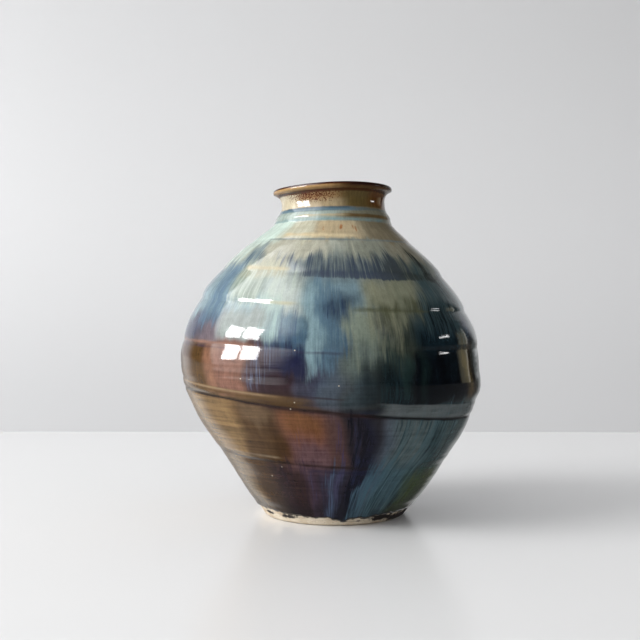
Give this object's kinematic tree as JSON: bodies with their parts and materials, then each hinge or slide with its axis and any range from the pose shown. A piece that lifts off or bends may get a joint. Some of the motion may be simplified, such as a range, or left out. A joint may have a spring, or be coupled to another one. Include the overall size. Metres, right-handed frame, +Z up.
{
  "type": "stoneware vase",
  "caption": "Round-bellied wheel-thrown stoneware vase with a short collared neck and flared lip; holds water and cut stems, or stands as an ornament.",
  "frame": {"origin": "centre of the foot, on the surface that the vase stands on", "axes": "+Z up along the vase's axis of turning; -Y is the side seen from the front; +X to the right of it"},
  "size_m": [0.22, 0.22, 0.24],
  "materials": {
    "bare_clay": "unglazed buff stoneware, fine grained, matte",
    "outer_glaze": "glossy running glaze: ochre neck, blue-green and navy streaks over iron brown",
    "inner_glaze": "glossy iron-brown liner glaze"
  },
  "bodies": {
    "root": {"foot_ring": "bare_clay", "lower_body": "bare_clay", "upper_body": "bare_clay", "neck_collar": "bare_clay", "outer_glaze": "outer_glaze", "inner_glaze": "inner_glaze"}
  },
  "joints": []
}
